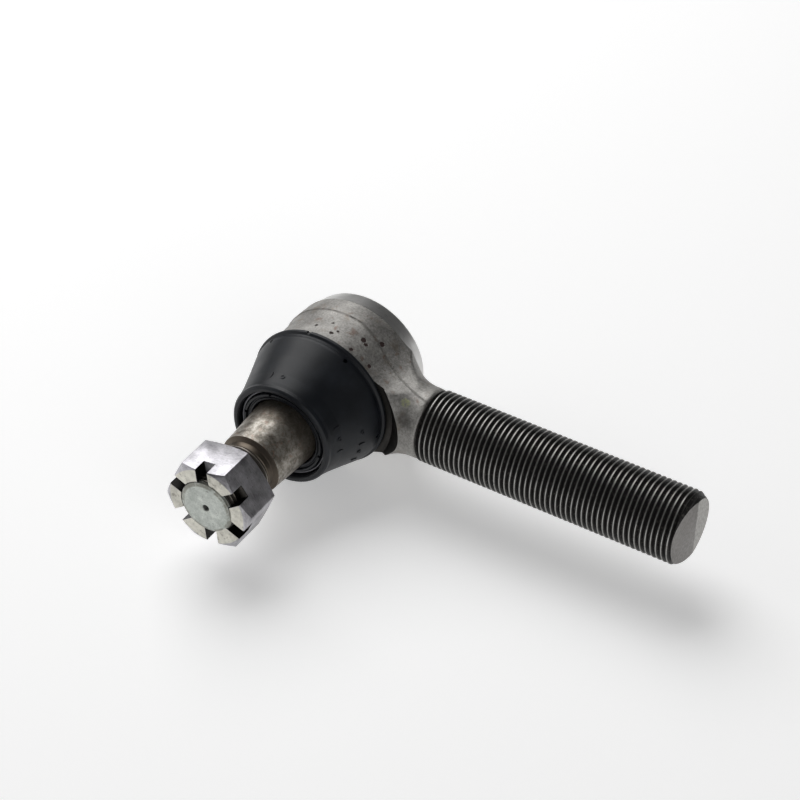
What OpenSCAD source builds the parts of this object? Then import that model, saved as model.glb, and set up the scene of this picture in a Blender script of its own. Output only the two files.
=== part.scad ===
// Heavy-duty tie rod end: a forged socket on a threaded shank, with a tapered ball stud.
// Frame: origin at the ball centre, +X along the shank to its tip, -Y along the stud to
// its tip, +Z up. Every part of the socket and stud is drawn standing on +Z and then
// laid over by stud_frame(); shank_frame() does the same for the shank.

/* [Ball and socket] */
// Ball diameter
ball_d = 32; // [27:0.5:38]
// Wall of the acetal shell that wraps the ball
shell_t = 2.15; // [1.6:0.05:3]
// Wall of the hardened front race at its widest point
race_t = 3.25; // [2.5:0.05:4]
// Running gap between the ball, the shell and the race
run_gap = 0.05; // [0.02:0.01:0.08]
// Angle from the stud axis to the edge of the race's spherical seat
race_mouth = 60.5; // [59:0.5:63]
// Angle from the stud axis to the inner edge of the shell's mouth
shell_mouth = 58.9; // [57:0.1:61]
// Hole in the bottom of the shell that lets grease through
shell_port_d = 6; // [4:0.5:8]

/* [Housing] */
// Forged wall outside the socket bore, at the parting crease
housing_wall = 6.8; // [5.5:0.1:9]
// How much smaller the forging is at its front edge than at the crease
front_draft = 0.9; // [0.4:0.1:1.5]
// Distance of the crease behind the ball centre
crease_back = 8.5; // [6:0.5:10]
// Length of the machined band at the rear
band_len = 7.7; // [6:0.1:9]
// Radius lost from the crease to the front of the machined band
band_drop = 0.7; // [0.4:0.1:1.2]
// Radius lost from the crease to the rear edge
rear_drop = 2.2; // [1.6:0.1:3]
// Steel over the front of the race
lip_t = 3; // [2:0.1:4.5]
// Flare of the mouth through that steel, on the radius
mouth_flare = 2.3; // [1.8:0.1:3]
// Height of the boot's boss above the spot face
boss_h = 4; // [3:0.1:5]
// Wall of the boss outside the socket bore, on the radius
boss_wall = 3; // [2:0.1:4.5]
// Spot face beyond the boot's lip, on the radius; the tool leaves a 45 degree flank round it
spot_margin = 2.55; // [1:0.05:5]

/* [Rear seat and cap] */
// Gap that the sprung seat leaves behind the front race
seat_gap = 1; // [0.8:0.1:1.5]
// Floor of the seat behind the shell
seat_floor = 1.8; // [1.4:0.1:3]
// Sliding gap of the seat in its bore
seat_slide = 0.05; // [0.03:0.01:0.08]
// Working height of the disc spring
spring_h = 1.85; // [1.5:0.05:2.6]
// Metal of the disc spring
spring_t = 0.8; // [0.6:0.05:1]
// Outer diameter of the disc spring
spring_d = 34; // [28:1:38]
// Inner diameter of the disc spring
spring_hole_d = 14; // [10:0.5:18]
// Thickness of the gasket under the cap
gasket_t = 0.5; // [0.4:0.1:1]
// Thickness of the cap
cap_t = 1.8; // [1.5:0.1:3]
// Step on the radius that the cap and gasket seat on
cap_step = 1.1; // [0.8:0.1:1.5]
// Thickness of the rim rolled over the cap
rim_t = 0.8; // [0.6:0.1:1.5]
// Diameter of the boss that carries the grease fitting
fitting_boss_d = 14; // [12:0.5:18]
// Height of that boss
fitting_boss_h = 2.6; // [2:0.1:4]

/* [Shank] */
// Thread diameter of the shank (1-1/8 in)
shank_d = 28.575; // [25:0.005:32]
// Threads per inch on the shank
shank_tpi = 12; // [10:1:14]
// Ball centre to the tip of the shank
shank_len = 152.4; // [130:0.1:180]
// Ball centre to the start of the thread
thread_start = 44.4; // [40:0.1:60]
// Length of the chamfer at the tip
tip_chamfer = 3; // [2:0.1:4]
// Radius lost over that chamfer
tip_drop = 2; // [1.4:0.1:2.4]
// Angle of the sheared facet across half of the end face
shear_angle = 9; // [4:0.5:12]
// Distance of that facet's edge from the shank axis
shear_edge = 1.7; // [0:0.1:4]
// Diameter of the plain neck before the thread
neck_d = 27.8; // [26:0.1:28]
// Length of that plain neck, from the fillet to the thread
neck_len = 3.4; // [1:0.1:8]
// Radius of the forged fillet between neck and socket, behind the neck
fillet_r = 18; // [14:0.5:22]
// Radius of the forged fillets at the neck's two flanks
side_fillet_r = 30; // [20:1:40]

/* [Ball stud] */
// Diameter of the waist above the ball
waist_d = 20; // [17:0.5:21]
// Height of the waist above the top of the ball
waist_rise = 2; // [1:0.5:4]
// Ball centre to the large end of the taper
taper_start = 26; // [24:0.5:28]
// Ball centre to the small end of the taper
taper_end = 55.1; // [50:0.1:58]
// Diameter at the small end of the taper
taper_small_d = 24.6; // [23.8:0.1:25.4]
// Taper on the diameter, in mm per mm
taper_rate = 0.125; // [0.1:0.005:0.13]
// Length of the relief between taper and thread
relief_len = 3.4; // [2.5:0.1:5]
// Diameter of the relief
relief_d = 20.6; // [19.5:0.1:21]
// Ball centre to the end of the stud
stud_len = 83.5; // [80:0.1:90]
// Thread diameter of the stud (7/8 in)
stud_d = 22.225; // [20:0.005:24]
// Threads per inch on the stud
stud_tpi = 14; // [12:1:16]
// Cotter hole diameter
cotter_d = 4.4; // [3.5:0.1:5]
// Cotter hole to the end of the stud
cotter_back = 11; // [8:0.1:14]

/* [Slotted nut] */
// Distance across the flats (1-5/16 in at its low limit)
nut_af = 32.25; // [30:0.05:36]
// Height of the nut
nut_h = 17.1; // [14:0.1:20]
// How far the stud stands out of the nut
nut_inset = 0.6; // [0:0.1:3]
// Width of a slot
slot_w = 5; // [4:0.1:6]
// Depth of a slot
slot_depth = 5.6; // [4:0.1:7]
// Angle of the first flat about the stud axis
nut_turn = 37; // [0:1:59]
// Gap between the two threads, on the radius
thread_gap = 0.08; // [0.04:0.01:0.12]

/* [Dust boot] */
// How far the boot's large lip stands out beyond the boss, on the radius
boot_flange = 4.7; // [3.5:0.1:7]
// Height of the boot above the spot face
boot_h = 28; // [24:0.5:32]
// Diameter of the boot's small rim
boot_rim_d = 42.4; // [40:0.1:45]
// Wall of the boot
boot_wall = 2.2; // [1.6:0.1:3]
// Gap between the boot and the stud, and round the garter ring
boot_gap = 0.3; // [0.3:0.05:0.6]
// Thickness of the steel insert in the boot's base, on the radius
insert_t = 1.2; // [0.8:0.1:1.6]
// Height of that insert
insert_h = 3; // [2:0.1:3.5]
// Wire of the garter ring
garter_wire_d = 1; // [0.8:0.1:1.4]
// Mean diameter of the garter ring
garter_d = 35.8; // [34:0.1:37]

/* [Grease fitting] */
// Thread diameter of the fitting
fitting_d = 6.35; // [5:0.05:8]
// Distance across the flats of its hexagon
fitting_af = 7.94; // [7:0.02:10]
// Height of the hexagon
fitting_hex_h = 3.6; // [2.5:0.1:5]
// Diameter of the nozzle
nozzle_d = 6.4; // [5.5:0.1:7]
// Length of the nozzle
nozzle_len = 6.2; // [5:0.1:8]
// Bore of the fitting
fitting_bore_d = 3.2; // [2.6:0.1:3.6]
// Diameter of the check ball
check_ball_d = 2.8; // [2.2:0.1:3]
// Wire of the check spring
check_wire_d = 0.35; // [0.3:0.05:0.5]
// Turns of the check spring
check_turns = 6; // [4:1:8]

/* [Hidden] */
$fn = 128;
eps = 0.01;
contact_gap = 0.02;

// Radii of the nested spherical and cylindrical fits
ball_r = ball_d / 2;
shell_in_r = ball_r + run_gap;
shell_out_r = shell_in_r + shell_t;
seat_sphere_r = shell_out_r + run_gap;
bore_r = seat_sphere_r + race_t;
crease_r = bore_r + housing_wall;

// Levels along the stud axis, from the mouth back to the rolled rim
race_top = seat_sphere_r * cos(race_mouth);
boss_top = race_top + lip_t;
boss_d = 2 * (bore_r + boss_wall);
face_z = boss_top - boss_h;
shell_cut = shell_in_r * cos(shell_mouth);
seat_bottom = -(seat_sphere_r + seat_floor);
cap_in = seat_bottom - spring_h;
step_z = cap_in + gasket_t;
cap_out = cap_in - cap_t;
rear_z = cap_out - rim_t;
mouth_r = seat_sphere_r * sin(race_mouth) + 0.4;
cap_r = bore_r + cap_step;
band_z = rear_z + band_len;
rear_r = crease_r - rear_drop;

// Shank
pitch = 25.4 / shank_tpi;
thread_end = shank_len - tip_chamfer;
thread_len = thread_end - thread_start;
shank_r = shank_d / 2;

// Stud and nut
waist_top = ball_r + waist_rise;
cotter_at = stud_len - cotter_back;
stud_pitch = 25.4 / stud_tpi;
stud_thread_z = taper_end + relief_len;
nut_front = stud_len - nut_inset;
nut_back = nut_front - nut_h;
stud_rings = floor((stud_len - 1.4 - stud_thread_z) / stud_pitch);
ball_flat = ball_r * 0.94;
function taper_r(z) = taper_small_d / 2 + (taper_end - z) * taper_rate / 2;

// Boot
boot_lip_r = boss_d / 2 + boot_flange;
spot_r = boot_lip_r + spot_margin;
boot_base = face_z + contact_gap;
boot_top = face_z + boot_h;
insert_in_r = boss_d / 2 + contact_gap;
insert_out_r = insert_in_r + insert_t;
wiper_r = taper_r(boot_top - 5) + boot_gap;
groove_half = garter_wire_d / 2 + boot_gap;

// Grease fitting, measured back from the cap's outer face
boss_out = cap_out - fitting_boss_h;
hex_out = boss_out - fitting_hex_h;
nozzle_out = hex_out - nozzle_len;
check_seat = nozzle_out + 0.8;

// A 60 degree thread of separate rings, as points (radius, height) that run upwards
function thread_depth(p) = 0.613 * p;
function ring_points(r, p, z0, n, grow) = [
    for (i = [0 : n - 1])
        let (z = z0 + i * p, d = thread_depth(p), f = d * tan(30))
        each [
            [r - d + grow, z + p / 8],
            [r + grow, z + p / 8 + f],
            [r + grow, z + p / 4 + f],
            [r - d + grow, z + p / 4 + 2 * f]
        ]
];

module stud_frame() {
    rotate([90, 0, 0]) children();
}

module shank_frame() {
    rotate([0, 90, 0]) children();
}

// Outside of the forging round the socket, front chamfer to rolled rim
module barrel() {
    front_r = crease_r - front_draft;
    rotate_extrude()
        polygon([
            [0, face_z], [front_r - 1.2, face_z], [front_r, face_z - 1.4],
            [crease_r, -crease_back + 0.8], [crease_r, -crease_back - 0.2],
            [crease_r - band_drop, band_z], [rear_r, rear_z + 1],
            [rear_r - 0.3, rear_z + 0.3], [rear_r - 1, rear_z], [0, rear_z]
        ]);
}

// Trumpet fillet from the neck into the forging, turned about the shank axis
module trumpet() {
    steps = 8;
    reach = fillet_r * 0.95;
    flare = [
        for (i = [0 : steps])
            let (x = reach * i / steps)
            [neck_d / 2 + fillet_r - sqrt(pow(fillet_r, 2) - x * x), thread_start - neck_len - x]
    ];
    last = flare[steps];
    rotate_extrude()
        polygon(concat(
            [[0, thread_start + eps], [neck_d / 2, thread_start + eps]],
            flare,
            [[last[0], bore_r - 5], [0, bore_r - 5]]
        ));
}

// Outline of neck and fillets seen along the stud axis, a hair wider than the plain neck
module neck_plan() {
    steps = 8;
    hub_r = crease_r - front_draft - 0.2;
    side_z = neck_d / 2 + 0.3 + side_fillet_r;
    side_x = sqrt(pow(hub_r + side_fillet_r, 2) - side_z * side_z);
    from = -180 + atan2(side_z, side_x);
    side = [
        for (i = [0 : steps])
            let (a = from + (-90 - from) * i / steps)
            [side_x + side_fillet_r * cos(a), side_z + side_fillet_r * sin(a)]
    ];
    tip = [thread_start + 1, side[steps][1]];
    polygon(concat(
        [[5, 5]], side, [tip, [tip[0], -tip[1]]],
        [for (i = [steps : -1 : 0]) [side[i][0], -side[i][1]]], [[5, -5]]
    ));
}

// The neck stops at the machined band behind, and its plan keeps it off the socket's flanks
module neck() {
    intersection() {
        shank_frame() trumpet();
        stud_frame()
            translate([0, 0, band_z])
                linear_extrude(height = 2 * shank_d)
                    neck_plan();
    }
}

module threaded_shank() {
    n = floor(thread_len / pitch);
    run_out = thread_len - n * pitch;
    rotate_extrude()
        polygon(concat(
            [[0, thread_start - 0.5], [neck_d / 2 - 1, thread_start - 0.5],
             [shank_r, thread_start + run_out / 2]],
            ring_points(shank_r, pitch, thread_start + run_out, n, 0),
            [[shank_r, thread_end], [shank_r - tip_drop, shank_len], [0, shank_len]]
        ));
}

// Half of the end face is sheared at a slant, on the stud's side of a line along Z
module shear_cut() {
    translate([shank_len, shear_edge, 0])
        rotate([0, 0, -shear_angle])
            translate([0, -2 * shank_d, -shank_d])
                cube([shank_d, 2 * shank_d, 2 * shank_d]);
}

// The socket's inside, from the flared mouth to the groove that holds the cap
module socket_cut() {
    rotate_extrude()
        polygon([
            [0, boss_top + 1], [mouth_r + mouth_flare, boss_top + 1],
            [mouth_r + mouth_flare, boss_top], [mouth_r, race_top],
            [bore_r, race_top], [bore_r, step_z], [cap_r, step_z],
            [cap_r, cap_out], [cap_r - 1.4, rear_z - eps], [0, rear_z - eps]
        ]);
}

module boss() {
    rotate_extrude()
        polygon([
            [0, face_z - 1], [boss_d / 2, face_z - 1], [boss_d / 2, boss_top - 0.6],
            [boss_d / 2 - 0.6, boss_top], [0, boss_top]
        ]);
}

module housing() {
    color([0.55, 0.54, 0.52])
    difference() {
        union() {
            difference() {
                union() {
                    stud_frame() barrel();
                    neck();
                }
                stud_frame()
                    translate([0, 0, face_z])
                        cylinder(r1 = spot_r, r2 = spot_r + shank_d, h = shank_d);
            }
            difference() {
                shank_frame() threaded_shank();
                shear_cut();
            }
            stud_frame() boss();
        }
        stud_frame() socket_cut();
    }
}

module front_race() {
    color([0.62, 0.63, 0.65])
    stud_frame()
    difference() {
        cylinder(r = bore_r - contact_gap, h = race_top - contact_gap);
        sphere(r = seat_sphere_r);
    }
}

module bearing_shell() {
    color([0.93, 0.93, 0.88])
    stud_frame()
    difference() {
        sphere(r = shell_out_r);
        sphere(r = shell_in_r);
        translate([0, 0, shell_cut])
            cylinder(r = shell_out_r + 1, h = shell_out_r);
        translate([0, 0, -shell_out_r - 1])
            cylinder(d = shell_port_d, h = shell_out_r);
    }
}

module rear_seat() {
    color([0.58, 0.59, 0.6])
    stud_frame()
    difference() {
        translate([0, 0, seat_bottom])
            cylinder(r = bore_r - seat_slide, h = -seat_gap - seat_bottom);
        sphere(r = seat_sphere_r);
        translate([0, 0, seat_bottom - 1])
            cylinder(d = shell_port_d, h = seat_sphere_r);
    }
}

// Coned disc spring, squeezed between seat and cap
module preload_spring() {
    high = seat_bottom - contact_gap;
    low = cap_in + contact_gap;
    color([0.3, 0.3, 0.33])
    stud_frame()
    rotate_extrude()
        polygon([
            [spring_hole_d / 2, high - spring_t], [spring_d / 2, low],
            [spring_d / 2, low + spring_t], [spring_hole_d / 2, high]
        ]);
}

module cap_gasket() {
    color([0.12, 0.12, 0.12])
    stud_frame()
    translate([0, 0, cap_in + contact_gap])
    difference() {
        cylinder(r = cap_r - contact_gap, h = gasket_t - 2 * contact_gap);
        translate([0, 0, -1])
            cylinder(r = bore_r - cap_step, h = gasket_t + 2);
    }
}

module end_cap() {
    color([0.66, 0.67, 0.68])
    stud_frame()
    difference() {
        union() {
            translate([0, 0, cap_out + contact_gap])
                cylinder(r = cap_r - contact_gap, h = cap_t - contact_gap);
            translate([0, 0, boss_out])
                cylinder(d1 = fitting_boss_d - 1.2, d2 = fitting_boss_d,
                    h = fitting_boss_h + 2 * contact_gap);
        }
        translate([0, 0, boss_out - 1])
            cylinder(r = fitting_d / 2 + contact_gap, h = cap_t + fitting_boss_h + 2);
    }
}

module grease_fitting() {
    color([0.78, 0.78, 0.76])
    stud_frame()
    difference() {
        union() {
            translate([0, 0, boss_out])
                cylinder(d = fitting_d, h = fitting_boss_h + cap_t);
            translate([0, 0, hex_out])
                cylinder(r = fitting_af / sqrt(3), h = fitting_hex_h, $fn = 6);
            nozzle();
        }
        translate([0, 0, check_seat])
            cylinder(d = fitting_bore_d, h = cap_in - check_seat + 1);
        translate([0, 0, nozzle_out - 1])
            cylinder(d = check_ball_d - 0.8, h = check_seat - nozzle_out + 1 + eps);
    }
}

// Nozzle with the waist that a grease coupler grips
module nozzle() {
    r = nozzle_d / 2;
    rotate_extrude()
        polygon([
            [0, hex_out + eps], [r - 0.2, hex_out + eps], [r - 0.9, hex_out - 1.6],
            [r - 0.9, hex_out - 2.6], [r, hex_out - 4], [r - 0.5, nozzle_out + 1],
            [r - 1.4, nozzle_out], [0, nozzle_out]
        ]);
}

module check_ball() {
    color([0.75, 0.75, 0.78])
    stud_frame()
    translate([0, 0, check_seat + check_ball_d / 2 + contact_gap])
        sphere(d = check_ball_d);
}

// Points of one wire ring of the check spring, square to the coil
function coil_ring(a, coil_r, wire_r, z, sides) = [
    for (k = [0 : sides - 1])
        let (b = 360 * k / sides, r = coil_r + wire_r * cos(b))
        [r * cos(a), r * sin(a), z + wire_r * sin(b)]
];

module check_spring() {
    sides = 6;
    per_turn = 14;
    rings = check_turns * per_turn;
    wire_r = check_wire_d / 2;
    coil_r = fitting_bore_d / 2 - wire_r - 0.15;
    low = check_seat + check_ball_d + wire_r + 3 * contact_gap;
    high = cap_in - wire_r;
    points = [
        for (i = [0 : rings])
            each coil_ring(360 * i / per_turn, coil_r, wire_r,
                low + (high - low) * i / rings, sides)
    ];
    sides_faces = [
        for (i = [0 : rings - 1], k = [0 : sides - 1])
            let (a = i * sides + k, b = i * sides + (k + 1) % sides)
            each [[a, a + sides, b], [b, a + sides, b + sides]]
    ];
    color([0.7, 0.7, 0.72])
    stud_frame()
    polyhedron(
        points,
        concat(
            sides_faces,
            [[for (k = [0 : sides - 1]) k]],
            [[for (k = [sides - 1 : -1 : 0]) rings * sides + k]]
        )
    );
}

// Boot: a flared lip on the spot face, a hollow cone, and a rim with a ring groove
module dust_boot() {
    rim_r = boot_rim_d / 2;
    garter_r = garter_d / 2;
    cone_low = boot_base + 4;
    cone_high = boot_top - 5;
    color([0.13, 0.13, 0.14])
    stud_frame()
    rotate_extrude()
        polygon([
            [insert_out_r + contact_gap, boot_base], [boot_lip_r - 0.3, boot_base],
            [boot_lip_r, boot_base + 0.4], [boot_lip_r, boot_base + 1.1], [boot_lip_r - 0.7, boot_base + 1.8],
            [boot_lip_r - 1.6, cone_low], [rim_r + 0.6, cone_high], [rim_r, cone_high + 1.3],
            [rim_r, boot_top - 1.2], [rim_r - 0.4, boot_top - 0.4], [rim_r - 1.2, boot_top],
            [garter_r + groove_half + 0.3, boot_top], [garter_r + groove_half, boot_top - 0.4],
            [garter_r + groove_half, boot_top - 3.6], [garter_r - groove_half, boot_top - 3.6],
            [garter_r - groove_half, boot_top - 1.6], [wiper_r + 1, boot_top - 2],
            [wiper_r, boot_top - 2.6], [wiper_r, boot_top - 3.4], [wiper_r + 0.9, boot_top - 4.1],
            [wiper_r, boot_top - 4.8], [wiper_r + 0.6, boot_top - 5.6],
            [rim_r + 0.4 - boot_wall, cone_high - 1.4],
            [insert_out_r - 0.6, cone_low + 2.4], [boss_d / 2 - 0.8, boss_top + 1.4],
            [boss_d / 2 - 0.8, boss_top + 0.1], [insert_out_r + contact_gap, boss_top + 0.1]
        ]);
}

module boot_insert_ring() {
    color([0.45, 0.45, 0.46])
    stud_frame()
    translate([0, 0, boot_base + 0.4])
    difference() {
        cylinder(r = insert_out_r, h = insert_h);
        translate([0, 0, -1])
            cylinder(r = insert_in_r, h = insert_h + 2);
    }
}

module boot_garter_ring() {
    color([0.35, 0.35, 0.36])
    stud_frame()
    translate([0, 0, boot_top - 3.6 + groove_half])
        rotate_extrude()
            translate([garter_d / 2, 0])
                circle(d = garter_wire_d);
}

// Waist, taper, relief and thread of the stud, as one turned outline
module stud_profile() {
    waist_r = waist_d / 2;
    stud_r = stud_d / 2;
    top = stud_thread_z + stud_rings * stud_pitch;
    shoulder = taper_r(taper_start);
    flare = [
        for (i = [0 : 6])
            let (a = 90 * i / 6)
            [waist_r + (shoulder - waist_r) * (1 - cos(a)),
             waist_top + (taper_start - waist_top) * sin(a)]
    ];
    rotate_extrude()
        polygon(concat(
            [[0, 0], [waist_r - 1, 0], [waist_r, sqrt(pow(ball_r, 2) - pow(waist_r, 2)) - 0.5]],
            flare,
            [[taper_r(taper_end), taper_end], [relief_d / 2 + 0.3, taper_end + 0.25],
             [relief_d / 2, taper_end + 0.8], [relief_d / 2, stud_thread_z - 0.3]],
            ring_points(stud_r, stud_pitch, stud_thread_z, stud_rings, 0),
            [[stud_r, top], [stud_r, stud_len - 1.3], [stud_r - 1.6, stud_len], [0, stud_len]]
        ));
}

module ball_stud() {
    color([0.5, 0.47, 0.43])
    stud_frame()
    difference() {
        union() {
            difference() {
                sphere(r = ball_r);
                translate([0, 0, -ball_flat - ball_r])
                    cylinder(r = ball_r, h = ball_r);
            }
            stud_profile();
        }
        translate([0, 0, stud_len - 1.5])
            cylinder(d1 = 0.4, d2 = 3.4, h = 1.5 + eps);
        rotate([0, 0, nut_turn])
            translate([-stud_d, 0, cotter_at])
                rotate([0, 90, 0])
                    cylinder(d = cotter_d, h = 2 * stud_d);
    }
}

// Slotted hexagon nut: the thread inside is cut by the stud's own rings, grown by a gap,
// and the bore opens out plain where the stud's thread ends
module slotted_nut() {
    corner_r = nut_af / sqrt(3);
    first = ceil((nut_back - stud_thread_z) / stud_pitch) - 1;
    n = stud_rings - first;
    z0 = stud_thread_z + first * stud_pitch;
    color([0.72, 0.72, 0.73])
    stud_frame()
    difference() {
        intersection() {
            rotate([0, 0, nut_turn + 30])
                translate([0, 0, nut_back])
                    cylinder(r = corner_r, h = nut_h, $fn = 6);
            nut_chamfers();
        }
        rotate_extrude()
            polygon(concat(
                [[0, z0 - 1], [stud_d / 2 - thread_depth(stud_pitch) + thread_gap, z0 - 1]],
                ring_points(stud_d / 2, stud_pitch, z0, n, thread_gap),
                [[stud_d / 2 + thread_gap, z0 + n * stud_pitch],
                 [stud_d / 2 + thread_gap, nut_front + 1], [0, nut_front + 1]]
            ));
        for (a = [0 : 60 : 300])
            rotate([0, 0, nut_turn + a])
                translate([stud_d / 2 - 2, -slot_w / 2, nut_front - slot_depth])
                    cube([nut_af, slot_w, slot_depth + 1]);
    }
}

module nut_chamfers() {
    corner_r = nut_af / sqrt(3);
    face_r = nut_af / 2 * 0.985;
    rotate_extrude()
        polygon([
            [0, nut_back], [face_r, nut_back], [corner_r + eps, nut_back + 0.9],
            [corner_r + eps, nut_front - (corner_r - face_r) * tan(30)], [face_r, nut_front],
            [0, nut_front]
        ]);
}

housing();
front_race();
bearing_shell();
rear_seat();
preload_spring();
cap_gasket();
end_cap();
grease_fitting();
check_ball();
check_spring();
dust_boot();
boot_insert_ring();
boot_garter_ring();
ball_stud();
slotted_nut();
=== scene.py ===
import math

import bpy
from mathutils import Matrix, Vector


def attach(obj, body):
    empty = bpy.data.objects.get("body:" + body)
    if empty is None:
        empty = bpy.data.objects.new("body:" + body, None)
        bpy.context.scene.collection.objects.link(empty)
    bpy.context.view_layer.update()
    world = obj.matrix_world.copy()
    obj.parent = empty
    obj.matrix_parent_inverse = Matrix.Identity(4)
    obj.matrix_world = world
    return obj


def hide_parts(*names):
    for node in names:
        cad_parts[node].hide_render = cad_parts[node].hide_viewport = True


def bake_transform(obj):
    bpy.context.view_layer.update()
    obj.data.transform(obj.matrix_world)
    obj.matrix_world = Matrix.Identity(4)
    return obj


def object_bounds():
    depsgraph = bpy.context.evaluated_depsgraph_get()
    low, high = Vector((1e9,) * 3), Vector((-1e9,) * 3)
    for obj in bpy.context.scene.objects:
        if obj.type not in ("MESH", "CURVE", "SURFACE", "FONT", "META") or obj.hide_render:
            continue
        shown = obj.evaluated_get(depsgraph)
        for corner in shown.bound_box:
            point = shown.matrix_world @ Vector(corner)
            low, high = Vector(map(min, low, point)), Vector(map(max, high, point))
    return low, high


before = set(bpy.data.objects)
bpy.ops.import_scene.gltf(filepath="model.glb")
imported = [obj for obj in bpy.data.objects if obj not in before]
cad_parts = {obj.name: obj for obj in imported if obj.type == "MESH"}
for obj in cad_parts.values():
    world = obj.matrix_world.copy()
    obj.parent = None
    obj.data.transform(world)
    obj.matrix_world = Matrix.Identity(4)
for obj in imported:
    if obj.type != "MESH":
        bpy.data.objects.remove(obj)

bl_info = {
    "name": "Tie Rod End",
    "version": (1, 0, 0),
    "blender": (4, 5, 0),
    "location": "View3D > Sidebar > Tie Rod End",
    "description": "Models a steering ball joint with its threaded shank, piece by piece",
    "category": "Add Mesh",
}

CAD_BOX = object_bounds()
MM = 0.001
STUD_AXIS = Vector((0, -1, 0))
SHANK_AXIS = Vector((1, 0, 0))

# Along the shank in millimetres: where the fillet gives way to thread, and the tip
THREAD_START = 44.3
SHANK_TIP = 152.4


# ---------------------------------------------------------------- sizes and colours

def distance(name, description, default):
    return bpy.props.FloatProperty(
        name=name, description=description, default=default, unit="LENGTH")


def paint(name, description, default):
    return bpy.props.FloatVectorProperty(
        name=name, description=description, default=default, subtype="COLOR", size=3,
        min=0, max=1)


class ForgingSizes(bpy.types.PropertyGroup):
    barrel_radius: distance("Barrel radius", "Radius of the socket at the trim line", 0.0283)
    front_draft: distance("Front draft", "Radius lost from the trim line to the spot face", 0.0009)
    neck_radius: distance("Neck radius", "Radius of the neck where the thread starts", 0.0139)
    spot_radius: distance("Spot face radius", "Radius of the milled face under the boot", 0.03175)
    boss_radius: distance("Boss radius", "Radius of the turned boss that the boot sits on", 0.0245)
    shank_radius: distance("Shank radius", "Crest radius of the shank's thread", 0.0142875)
    shank_pitch: distance("Shank pitch", "Pitch of the shank's thread", 0.0254 / 12)
    grain: distance("Remesh size", "Size of the faces on the forged skin", 0.00055)


class StudSizes(bpy.types.PropertyGroup):
    ball_radius: distance("Ball radius", "Radius of the ball inside the socket", 0.016)
    taper_start: distance("Taper start", "Ball centre to the large end of the taper", 0.026)
    taper_end: distance("Taper end", "Ball centre to the small end of the taper", 0.0551)
    small_radius: distance("Taper small radius", "Radius at the small end of the taper", 0.0123)
    thread_radius: distance("Thread radius", "Crest radius of the stud's thread", 0.0111125)
    pitch: distance("Thread pitch", "Pitch of the stud's thread", 0.0254 / 14)
    length: distance("Length", "Ball centre to the end of the stud", 0.0835)


class NutSizes(bpy.types.PropertyGroup):
    flats: distance("Across flats", "Distance across the nut's flats", 0.03225)
    back: distance("Back face", "Ball centre to the nut's back face", 0.0658)
    front: distance("Front face", "Ball centre to the nut's front face", 0.0829)
    slot_width: distance("Slot width", "Width of each slot for the cotter pin", 0.0050)
    slot_depth: distance("Slot depth", "Depth of each slot for the cotter pin", 0.0056)
    turn: bpy.props.FloatProperty(
        name="Turn", description="Angle of the first flat about the stud",
        default=math.radians(37), subtype="ANGLE", unit="ROTATION")


class BootSizes(bpy.types.PropertyGroup):
    lip_radius: distance("Lip radius", "Radius of the flared lip on the spot face", 0.0292)
    rim_radius: distance("Rim radius", "Radius of the small rim round the stud", 0.0212)
    base: distance("Base", "Ball centre to the underside of the lip", 0.00801)
    top: distance("Top", "Ball centre to the top of the small rim", 0.03599)
    split: distance("Split", "Ball centre to the ring where the two bending halves meet", 0.0223)


class FinishColours(bpy.types.PropertyGroup):
    forging: paint("Forging", "Colour of the shot blasted forging", (0.29, 0.282, 0.268))
    pits: paint("Rust pits", "Colour of the small rust pits", (0.022, 0.008, 0.006))
    rubber: paint("Rubber", "Colour of the boot", (0.006, 0.0075, 0.0105))
    plating: paint("Plating", "Colour of the nut's plating", (0.47, 0.46, 0.485))
    floor: paint("Floor", "Colour of the studio floor", (0.93, 0.93, 0.93))


# ---------------------------------------------------------------- selecting and drawing

def clear_selection():
    if bpy.context.mode != "OBJECT":
        bpy.ops.object.mode_set(mode="OBJECT")
    bpy.ops.object.select_all(action="DESELECT")


def pick(piece):
    """Make one piece the only selected and the active object."""
    clear_selection()
    piece.select_set(True)
    bpy.context.view_layer.objects.active = piece


def edit(piece, kind="VERT"):
    pick(piece)
    bpy.ops.object.mode_set(mode="EDIT")
    bpy.ops.mesh.select_mode(type=kind)
    bpy.ops.mesh.select_all(action="DESELECT")


def done():
    bpy.ops.object.mode_set(mode="OBJECT")


def select_faces(piece, wanted):
    """Select in edit mode the faces whose centre and normal pass the test."""
    edit(piece, "FACE")
    done()
    for face in piece.data.polygons:
        face.select = wanted(face.center, face.normal)
    bpy.ops.object.mode_set(mode="EDIT")


def select_points(piece, wanted):
    """Select in edit mode the vertices whose place passes the test."""
    edit(piece, "VERT")
    done()
    for point in piece.data.vertices:
        point.select = wanted(point.co)
    bpy.ops.object.mode_set(mode="EDIT")


def clean(piece, gap=2e-6):
    """Merge doubled vertices and turn the faces outwards."""
    edit(piece)
    bpy.ops.mesh.select_all(action="SELECT")
    bpy.ops.mesh.remove_doubles(threshold=gap)
    bpy.ops.mesh.normals_make_consistent(inside=False)
    done()


def drop(piece):
    """Remove a helper piece that has done its work."""
    pick(piece)
    bpy.ops.object.delete()


def apply_place(piece):
    pick(piece)
    bpy.ops.object.transform_apply(location=True, rotation=True, scale=True)


def shade(piece, angle=32):
    pick(piece)
    bpy.ops.object.shade_smooth_by_angle(angle=math.radians(angle))


def apply_modifier(piece, kind, **settings):
    pick(piece)
    modifier = piece.modifiers.new(kind.title(), kind)
    for key, value in settings.items():
        setattr(modifier, key, value)
    bpy.ops.object.modifier_apply(modifier=modifier.name)
    if not len(piece.data.polygons):
        raise RuntimeError(f"{kind} left nothing of {piece.name}")


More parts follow.
